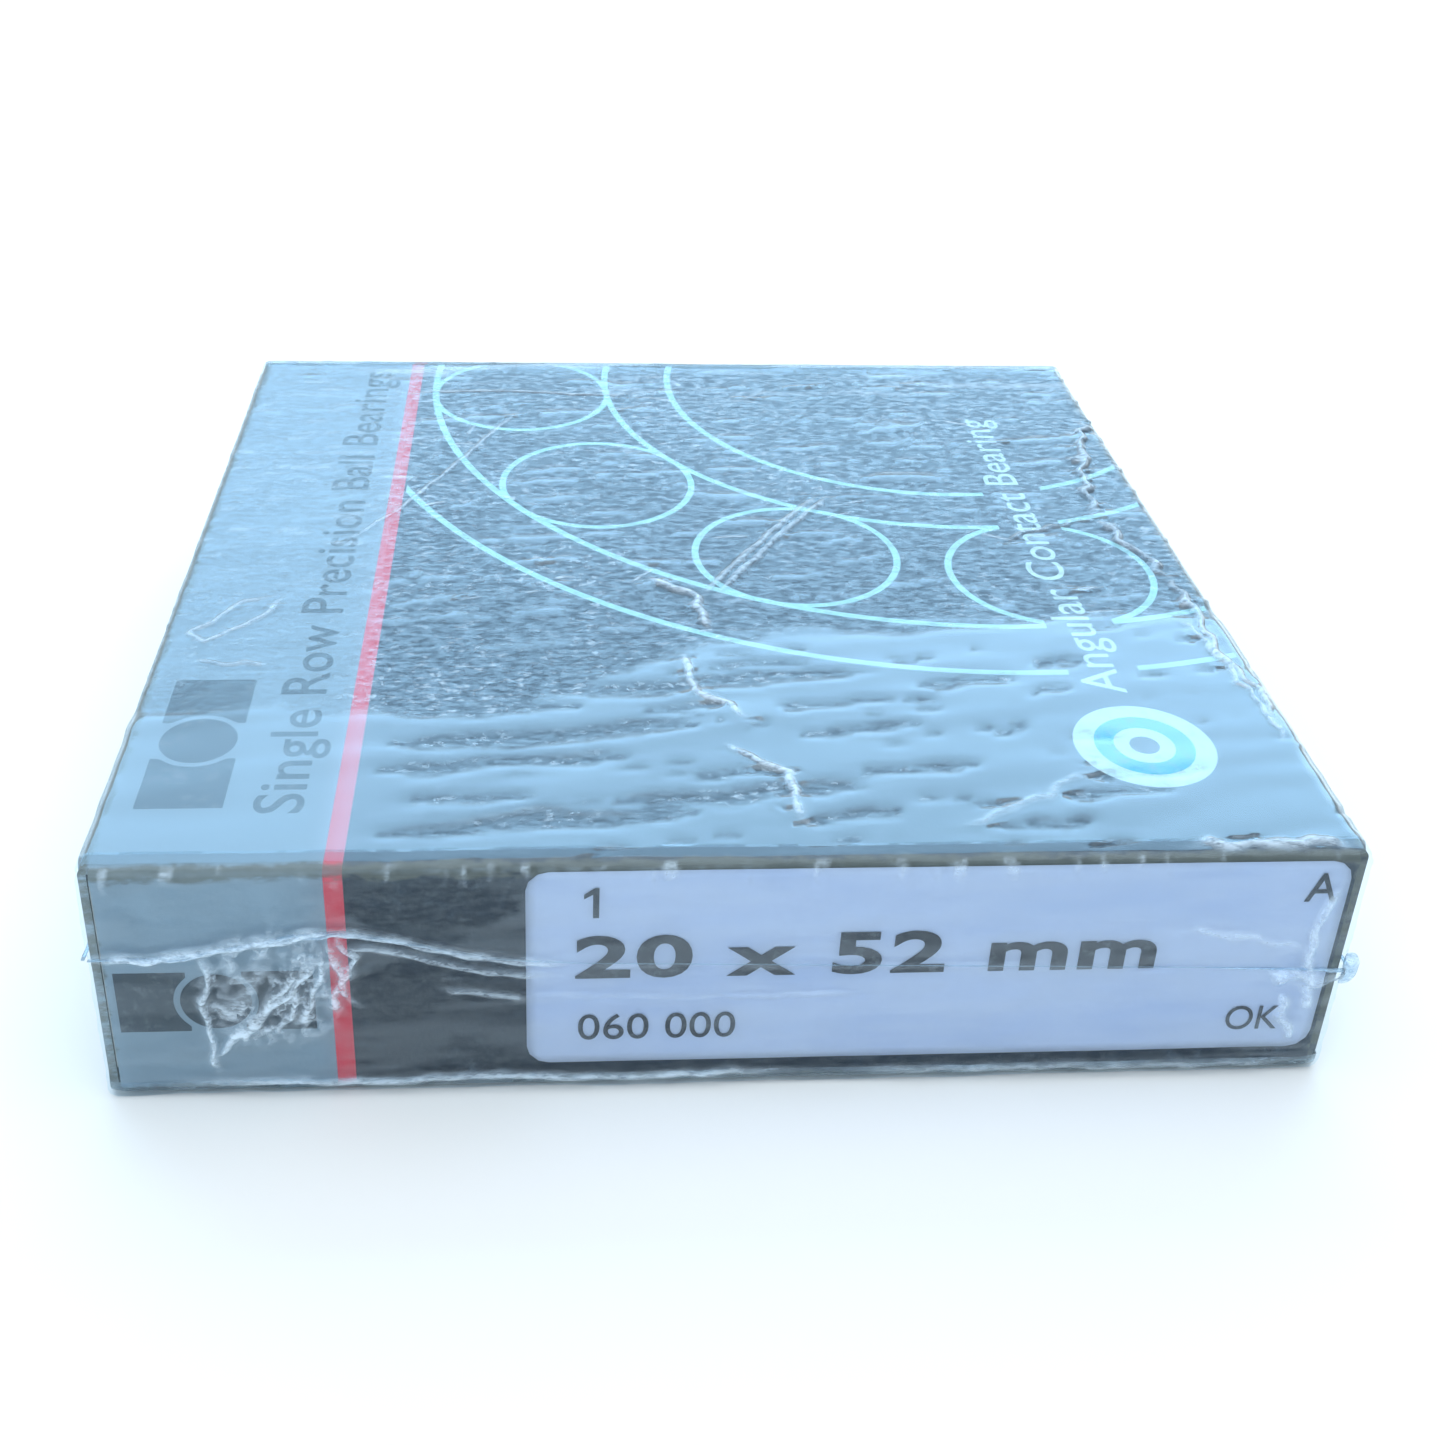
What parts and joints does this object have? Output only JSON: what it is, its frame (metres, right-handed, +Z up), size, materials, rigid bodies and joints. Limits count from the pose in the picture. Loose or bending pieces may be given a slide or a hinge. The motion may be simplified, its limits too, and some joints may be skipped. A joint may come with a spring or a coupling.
{
  "type": "boxed angular contact ball bearing",
  "caption": "Angular contact ball bearing in a sealed pouch, inside a flat square printed tuck-end carton that is sealed in shrink film and carries a paper label.",
  "frame": {"origin": "centre of the carton on the plane that the sealed pack lies on", "axes": "+X to the labelled end's right, +Y from the labelled front end to the rear end, +Z up out of the printed top face and along the bearing's axis"},
  "size_m": [0.0792, 0.0789, 0.0177],
  "materials": {
    "printed_board": "satin",
    "plain_board": "matte",
    "label_paper": "satin",
    "shrink_film": "gloss",
    "film_weld": "gloss",
    "pouch_film": "gloss",
    "leaflet_paper": "matte",
    "ring_steel": "ground",
    "ball_steel": "polished",
    "cage_polyamide": "moulded"
  },
  "bodies": {
    "carton": {"carton_sleeve": "printed_board", "glue_flap": "plain_board", "film_top_sheet": "shrink_film", "film_bottom_sheet": "shrink_film", "film_left_sheet": "shrink_film", "film_right_sheet": "shrink_film", "left_film_weld": "film_weld", "right_film_weld": "film_weld", "pouch_lower_web": "pouch_film", "pouch_upper_web": "pouch_film", "leaflet": "leaflet_paper", "outer_ring": "ring_steel"},
    "front_closure": {"front_closure_panel": "printed_board", "front_tuck_flap": "plain_board", "product_label": "label_paper", "front_film_panel": "shrink_film", "front_film_weld": "film_weld"},
    "rear_closure": {"rear_closure_panel": "printed_board", "rear_tuck_flap": "plain_board", "rear_film_panel": "shrink_film"},
    "front_left_dust": {"front_left_dust_flap": "plain_board"},
    "front_right_dust": {"front_right_dust_flap": "plain_board"},
    "rear_left_dust": {"rear_left_dust_flap": "plain_board"},
    "rear_right_dust": {"rear_right_dust_flap": "plain_board"},
    "inner_ring": {"inner_ring": "ring_steel"},
    "cage": {"cage": "cage_polyamide"},
    "ball_01": {"ball_01": "ball_steel"},
    "ball_02": {"ball_02": "ball_steel"},
    "ball_03": {"ball_03": "ball_steel"},
    "ball_04": {"ball_04": "ball_steel"},
    "ball_05": {"ball_05": "ball_steel"},
    "ball_06": {"ball_06": "ball_steel"},
    "ball_07": {"ball_07": "ball_steel"},
    "ball_08": {"ball_08": "ball_steel"},
    "ball_09": {"ball_09": "ball_steel"},
    "ball_10": {"ball_10": "ball_steel"},
    "ball_11": {"ball_11": "ball_steel"},
    "ball_12": {"ball_12": "ball_steel"},
    "ball_13": {"ball_13": "ball_steel"}
  },
  "joints": [
    {"name": "front_closure_hinge", "type": "hinge", "parent": "carton", "child": "front_closure", "pos_m": [0, -0.03845, 0.0176], "axis": [-1, 0, 0], "range_deg": [0, 150], "deforming": ["front_tuck_flap"]},
    {"name": "rear_closure_hinge", "type": "hinge", "parent": "carton", "child": "rear_closure", "pos_m": [0, 0.03845, 0.0176], "axis": [1, 0, 0], "range_deg": [0, 150], "deforming": ["rear_tuck_flap"]},
    {"name": "front_left_dust_hinge", "type": "hinge", "parent": "carton", "child": "front_left_dust", "pos_m": [-0.03845, -0.0379, 0.0091], "axis": [0, 0, 1], "range_deg": [0, 75]},
    {"name": "front_right_dust_hinge", "type": "hinge", "parent": "carton", "child": "front_right_dust", "pos_m": [0.03845, -0.0379, 0.0091], "axis": [0, 0, -1], "range_deg": [0, 75]},
    {"name": "rear_left_dust_hinge", "type": "hinge", "parent": "carton", "child": "rear_left_dust", "pos_m": [-0.03845, 0.0379, 0.0091], "axis": [0, 0, -1], "range_deg": [0, 75]},
    {"name": "rear_right_dust_hinge", "type": "hinge", "parent": "carton", "child": "rear_right_dust", "pos_m": [0.03845, 0.0379, 0.0091], "axis": [0, 0, 1], "range_deg": [0, 75]},
    {"name": "inner_ring_spin", "type": "hinge", "parent": "carton", "child": "inner_ring", "pos_m": [0, 0, 0.0083], "axis": [0, 0, 1], "continuous": true},
    {"name": "cage_spin", "type": "hinge", "parent": "carton", "child": "cage", "pos_m": [0, 0, 0.0083], "axis": [0, 0, 1], "continuous": true},
    {"name": "ball_01_spin", "type": "hinge", "parent": "cage", "child": "ball_01", "pos_m": [0.018, 0, 0.0083], "axis": [-0.866, 0, 0.5], "continuous": true},
    {"name": "ball_02_spin", "type": "hinge", "parent": "cage", "child": "ball_02", "pos_m": [0.01594, 0.00837, 0.0083], "axis": [-0.7668, -0.4025, 0.5], "continuous": true},
    {"name": "ball_03_spin", "type": "hinge", "parent": "cage", "child": "ball_03", "pos_m": [0.01023, 0.01481, 0.0083], "axis": [-0.492, -0.7127, 0.5], "continuous": true},
    {"name": "ball_04_spin", "type": "hinge", "parent": "cage", "child": "ball_04", "pos_m": [0.00217, 0.01787, 0.0083], "axis": [-0.1044, -0.8597, 0.5], "continuous": true},
    {"name": "ball_05_spin", "type": "hinge", "parent": "cage", "child": "ball_05", "pos_m": [-0.00638, 0.01683, 0.0083], "axis": [0.3071, -0.8097, 0.5], "continuous": true},
    {"name": "ball_06_spin", "type": "hinge", "parent": "cage", "child": "ball_06", "pos_m": [-0.01347, 0.01194, 0.0083], "axis": [0.6482, -0.5743, 0.5], "continuous": true},
    {"name": "ball_07_spin", "type": "hinge", "parent": "cage", "child": "ball_07", "pos_m": [-0.01748, 0.00431, 0.0083], "axis": [0.8409, -0.2073, 0.5], "continuous": true},
    {"name": "ball_08_spin", "type": "hinge", "parent": "cage", "child": "ball_08", "pos_m": [-0.01748, -0.00431, 0.0083], "axis": [0.8409, 0.2073, 0.5], "continuous": true},
    {"name": "ball_09_spin", "type": "hinge", "parent": "cage", "child": "ball_09", "pos_m": [-0.01347, -0.01194, 0.0083], "axis": [0.6482, 0.5743, 0.5], "continuous": true},
    {"name": "ball_10_spin", "type": "hinge", "parent": "cage", "child": "ball_10", "pos_m": [-0.00638, -0.01683, 0.0083], "axis": [0.3071, 0.8097, 0.5], "continuous": true},
    {"name": "ball_11_spin", "type": "hinge", "parent": "cage", "child": "ball_11", "pos_m": [0.00217, -0.01787, 0.0083], "axis": [-0.1044, 0.8597, 0.5], "continuous": true},
    {"name": "ball_12_spin", "type": "hinge", "parent": "cage", "child": "ball_12", "pos_m": [0.01023, -0.01481, 0.0083], "axis": [-0.492, 0.7127, 0.5], "continuous": true},
    {"name": "ball_13_spin", "type": "hinge", "parent": "cage", "child": "ball_13", "pos_m": [0.01594, -0.00837, 0.0083], "axis": [-0.7668, 0.4025, 0.5], "continuous": true}
  ],
  "couplings": [
    {"joint": "cage_spin", "follows": "inner_ring_spin", "ratio": 0.45039},
    {"joint": "ball_01_spin", "follows": "inner_ring_spin", "ratio": -2.4948},
    {"joint": "ball_02_spin", "follows": "inner_ring_spin", "ratio": -2.4948},
    {"joint": "ball_03_spin", "follows": "inner_ring_spin", "ratio": -2.4948},
    {"joint": "ball_04_spin", "follows": "inner_ring_spin", "ratio": -2.4948},
    {"joint": "ball_05_spin", "follows": "inner_ring_spin", "ratio": -2.4948},
    {"joint": "ball_06_spin", "follows": "inner_ring_spin", "ratio": -2.4948},
    {"joint": "ball_07_spin", "follows": "inner_ring_spin", "ratio": -2.4948},
    {"joint": "ball_08_spin", "follows": "inner_ring_spin", "ratio": -2.4948},
    {"joint": "ball_09_spin", "follows": "inner_ring_spin", "ratio": -2.4948},
    {"joint": "ball_10_spin", "follows": "inner_ring_spin", "ratio": -2.4948},
    {"joint": "ball_11_spin", "follows": "inner_ring_spin", "ratio": -2.4948},
    {"joint": "ball_12_spin", "follows": "inner_ring_spin", "ratio": -2.4948},
    {"joint": "ball_13_spin", "follows": "inner_ring_spin", "ratio": -2.4948}
  ]
}
